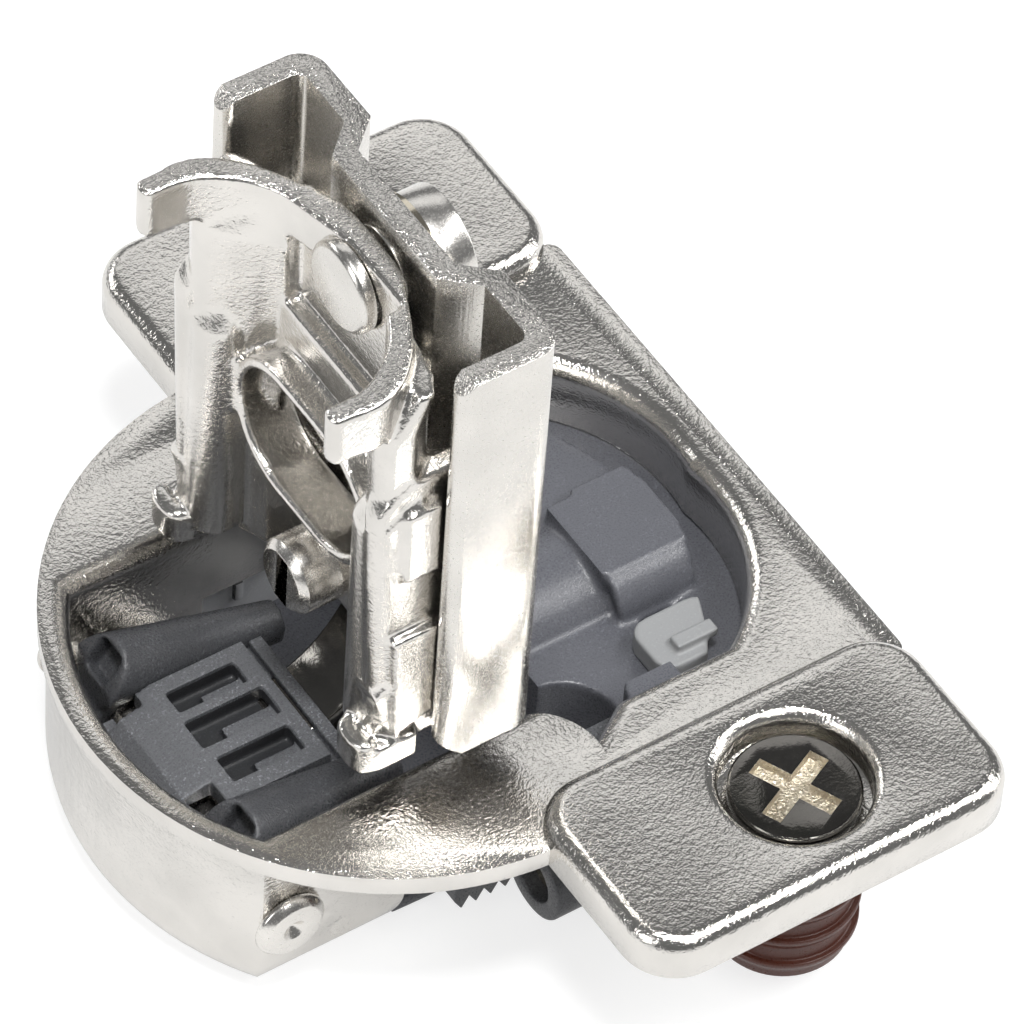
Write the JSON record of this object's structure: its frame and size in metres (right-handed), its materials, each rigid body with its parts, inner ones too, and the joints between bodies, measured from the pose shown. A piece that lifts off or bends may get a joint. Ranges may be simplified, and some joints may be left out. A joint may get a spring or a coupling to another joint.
{
  "type": "concealed cup hinge",
  "caption": "Concealed cabinet hinge: 35 mm cup with dowelled ears, channel arm on a four-bar linkage, nested frame plate with depth eccentric, soft-close unit.",
  "frame": {"origin": "centre of the 35 mm cup on the door surface, which is the underside of the flange", "axes": "+Z from the door into the cabinet, along the standing arm; -X to the hinged edge of the door; +Y along the hinge axis"},
  "size_m": [0.0389, 0.0544, 0.0422],
  "materials": {
    "nickel": "warm nickel plate, satin with a fine grain",
    "dark_nickel": "dark nickel plate",
    "spring_steel": "bright wire",
    "cover_plastic": "dark grey, sparkly satin",
    "dark_plastic": "near-black satin",
    "housing_plastic": "mid-grey satin",
    "switch_plastic": "light grey satin",
    "dowel_plastic": "reddish brown"
  },
  "bodies": {
    "cup": {"cup": "nickel", "outer_axle": "nickel", "inner_axle": "nickel", "cam_arm_near": "dark_plastic", "cam_arm_far": "dark_plastic", "closing_spring": "spring_steel", "damper_housing": "housing_plastic", "damper_tube_near": "dark_plastic", "damper_tube_far": "dark_plastic", "damper_clip_near": "dark_plastic", "damper_clip_far": "dark_plastic", "dowel_near": "dowel_plastic", "dowel_far": "dowel_plastic"},
    "outer_link": {"outer_link": "dark_nickel", "link_cover": "cover_plastic"},
    "inner_link": {"inner_link": "dark_nickel", "arm_pin_inner": "nickel"},
    "arm": {"arm_channel": "nickel", "arm_pin_outer": "nickel", "wave_washer": "spring_steel"},
    "mounting_plate": {"mounting_plate": "nickel", "plate_stud": "nickel"},
    "eccentric": {"eccentric": "nickel"},
    "damper_plunger": {"damper_plunger": "cover_plastic"},
    "soft_close_switch": {"soft_close_switch": "switch_plastic"},
    "damper_rod_near": {"damper_rod_near": "spring_steel"},
    "damper_rod_far": {"damper_rod_far": "spring_steel"},
    "dowel_screw_near": {"dowel_screw_near": "dark_nickel"},
    "dowel_screw_far": {"dowel_screw_far": "dark_nickel"}
  },
  "joints": [
    {"name": "door_fold", "type": "hinge", "parent": "cup", "child": "outer_link", "pos_m": [-0.01215, 0, -0.0055], "axis": [0, -1, 0], "range_deg": [0, 48.78]},
    {"name": "arm_fold", "type": "hinge", "parent": "outer_link", "child": "arm", "pos_m": [-0.001, 0, 0.0046], "axis": [0, -1, 0], "range_deg": [0, 46.22]},
    {"name": "inner_fold", "type": "hinge", "parent": "cup", "child": "inner_link", "pos_m": [-0.0088, 0, -0.0082], "axis": [0, -1, 0], "range_deg": [0, 49.06]},
    {"name": "eccentric_turn", "type": "hinge", "parent": "arm", "child": "eccentric", "pos_m": [0, 0, 0.0276], "axis": [1, 0, 0], "range_deg": [-50, 50]},
    {"name": "depth_slide", "type": "slide", "parent": "arm", "child": "mounting_plate", "axis": [0, 0, 1], "range_m": [-0.00092, 0.00092]},
    {"name": "plunger_slide", "type": "slide", "parent": "cup", "child": "damper_plunger", "axis": [-1, 0, 0], "range_m": [0, 0.0022]},
    {"name": "switch_slide", "type": "slide", "parent": "cup", "child": "soft_close_switch", "axis": [0, 1, 0], "range_m": [0, 0.0018]},
    {"name": "rod_slide_near", "type": "slide", "parent": "cup", "child": "damper_rod_near", "axis": [-1, 0, 0], "range_m": [0, 0.002]},
    {"name": "rod_slide_far", "type": "slide", "parent": "cup", "child": "damper_rod_far", "axis": [-1, 0, 0], "range_m": [0, 0.002]},
    {"name": "dowel_screw_turn_near", "type": "hinge", "parent": "cup", "child": "dowel_screw_near", "pos_m": [0.011, -0.021, 0], "axis": [0, 0, 1], "continuous": true},
    {"name": "dowel_screw_turn_far", "type": "hinge", "parent": "cup", "child": "dowel_screw_far", "pos_m": [0.011, 0.021, 0], "axis": [0, 0, 1], "continuous": true}
  ],
  "couplings": [
    {"joint": "arm_fold", "follows": "door_fold", "ratio": 0.94747},
    {"joint": "inner_fold", "follows": "door_fold", "ratio": 1.0058},
    {"joint": "eccentric_turn", "follows": "depth_slide", "rad_per_m": 949},
    {"joint": "plunger_slide", "follows": "door_fold", "m_per_rad": 0.002584},
    {"joint": "rod_slide_near", "follows": "door_fold", "m_per_rad": 0.0023491},
    {"joint": "rod_slide_far", "follows": "door_fold", "m_per_rad": 0.0023491}
  ]
}
